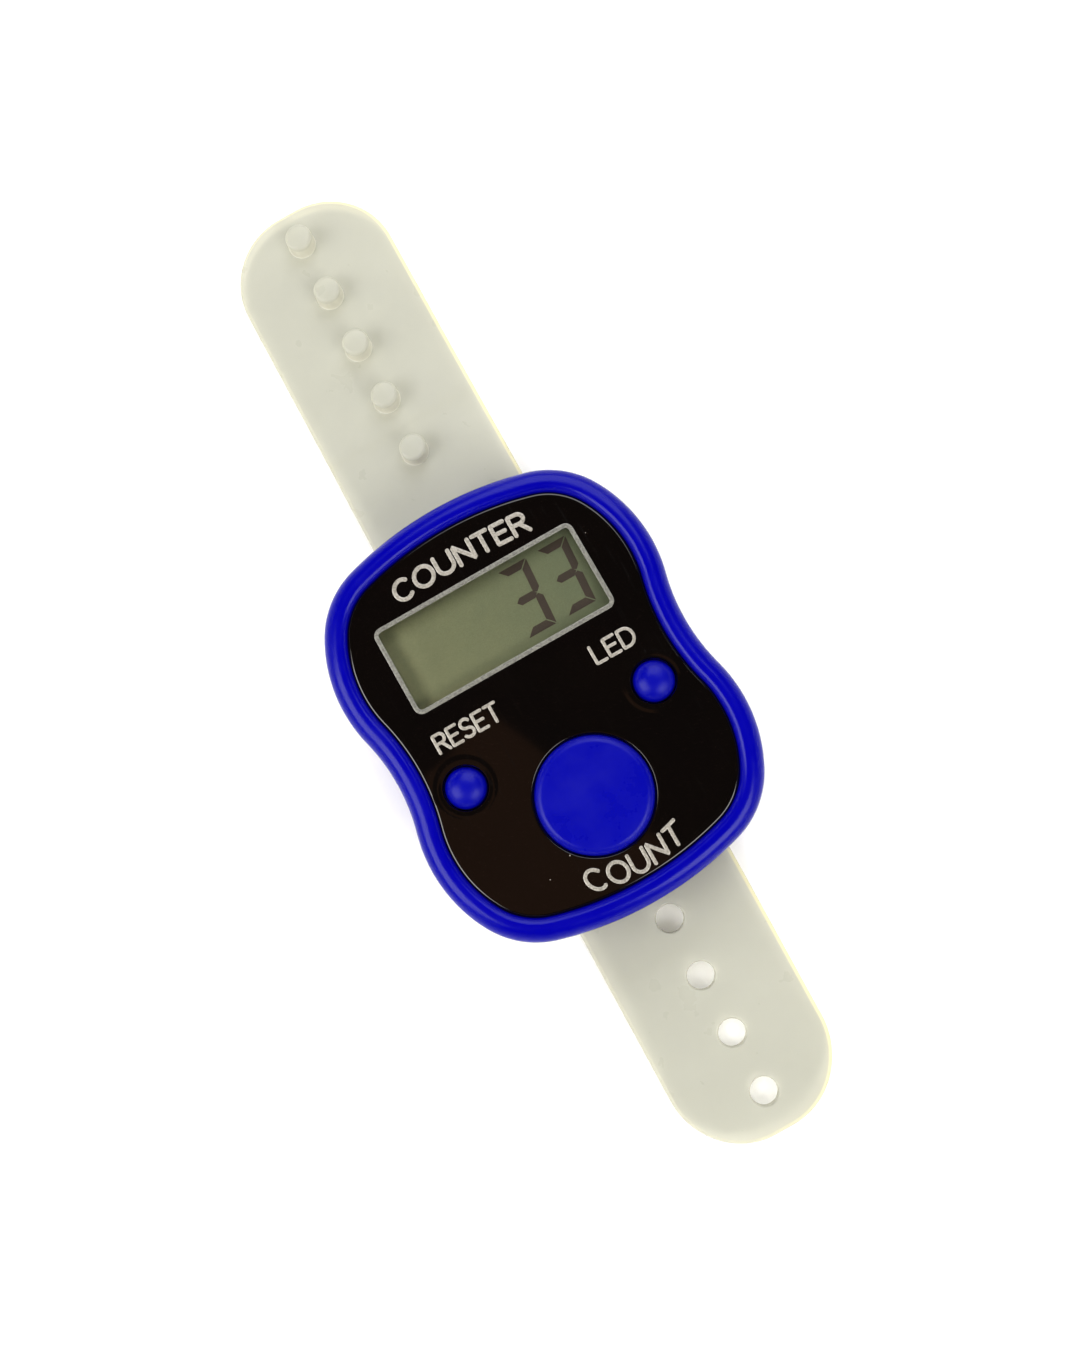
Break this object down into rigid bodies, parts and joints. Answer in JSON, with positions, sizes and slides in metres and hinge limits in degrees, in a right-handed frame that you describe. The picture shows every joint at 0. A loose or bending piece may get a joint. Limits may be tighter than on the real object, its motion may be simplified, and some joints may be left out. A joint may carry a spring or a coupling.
{
  "type": "hand tally counter",
  "caption": "Finger-ring tally counter: waisted plastic case with an LCD, one large and two small push buttons, and a soft strap with pegs and holes.",
  "frame": {"origin": "on the rest plane at the back of the case, under the middle of the case", "axes": "+Z out of the display, +Y towards the top of the display and the pegged end of the strap, +X to the display's right"},
  "size_m": [0.0298, 0.0952, 0.0123],
  "materials": {
    "case_blue": "moulded ABS, polished",
    "panel_black": "acrylic, back-printed black, high gloss",
    "clear_acrylic": "polished clear acrylic",
    "lcd_film": "reflective polariser film",
    "lcd_glass": "thin flat glass",
    "holder_white": "moulded white ABS",
    "lamp_ceramic": "chip package",
    "zebra_rubber": "layered silicone connector",
    "dome_silicone": "moulded silicone",
    "board_laminate": "glass-epoxy laminate with green mask",
    "epoxy_black": "cast epoxy",
    "plated_steel": "nickel-plated steel",
    "screw_steel": "zinc-plated steel",
    "button_blue": "moulded ABS, satin",
    "strap_silicone": "moulded translucent silicone"
  },
  "bodies": {
    "root": {"front_case": "case_blue", "rear_cover": "case_blue", "battery_door": "case_blue", "face_panel": "panel_black", "display_window": "clear_acrylic", "light_guide": "clear_acrylic", "rear_polariser": "lcd_film", "front_polariser": "lcd_film", "lcd_rear_glass": "lcd_glass", "lcd_front_glass": "lcd_glass", "lcd_holder": "holder_white", "backlight_lamp": "lamp_ceramic", "chip_resistors": "lamp_ceramic", "zebra_strip_upper": "zebra_rubber", "zebra_strip_lower": "zebra_rubber", "count_dome": "dome_silicone", "reset_dome": "dome_silicone", "led_dome": "dome_silicone", "circuit_board": "board_laminate", "controller_blob": "epoxy_black", "coin_cell": "plated_steel", "pole_contact": "plated_steel", "can_contact": "plated_steel", "case_screws": "screw_steel", "door_screw": "screw_steel", "strap_middle": "strap_silicone"},
    "count_cap": {"count_button": "button_blue"},
    "reset_cap": {"reset_button": "button_blue"},
    "led_cap": {"led_button": "button_blue"},
    "peg_side": {"strap_peg_root": "strap_silicone"},
    "peg_end": {"strap_peg_tip": "strap_silicone"},
    "hole_side": {"strap_hole_root": "strap_silicone"},
    "hole_end": {"strap_hole_tip": "strap_silicone"}
  },
  "joints": [
    {"name": "count_press", "type": "slide", "parent": "root", "child": "count_cap", "axis": [0, 0, -1], "range_m": [0, 0.0008], "stiffness_N_per_m": 1200, "springref_m": -0.0004, "deforming": ["count_dome"]},
    {"name": "reset_press", "type": "slide", "parent": "root", "child": "reset_cap", "axis": [0, 0, -1], "range_m": [0, 0.0008], "stiffness_N_per_m": 1000, "springref_m": -0.0004, "deforming": ["reset_dome"]},
    {"name": "led_press", "type": "slide", "parent": "root", "child": "led_cap", "axis": [0, 0, -1], "range_m": [0, 0.0008], "stiffness_N_per_m": 1000, "springref_m": -0.0004, "deforming": ["led_dome"]},
    {"name": "peg_side_bend", "type": "hinge", "parent": "root", "child": "peg_side", "pos_m": [0, 0.0175, 0.00095], "axis": [-1, 0, 0], "range_deg": [0, 80], "stiffness_Nm_per_rad": 0.01},
    {"name": "peg_end_bend", "type": "hinge", "parent": "peg_side", "child": "peg_end", "pos_m": [0, 0.03545, 0.00095], "axis": [-1, 0, 0], "range_deg": [0, 80], "stiffness_Nm_per_rad": 0.01},
    {"name": "hole_side_bend", "type": "hinge", "parent": "root", "child": "hole_side", "pos_m": [0, -0.0175, 0.00095], "axis": [1, 0, 0], "range_deg": [0, 80], "stiffness_Nm_per_rad": 0.01},
    {"name": "hole_end_bend", "type": "hinge", "parent": "hole_side", "child": "hole_end", "pos_m": [0, -0.02995, 0.00095], "axis": [1, 0, 0], "range_deg": [0, 80], "stiffness_Nm_per_rad": 0.01}
  ]
}
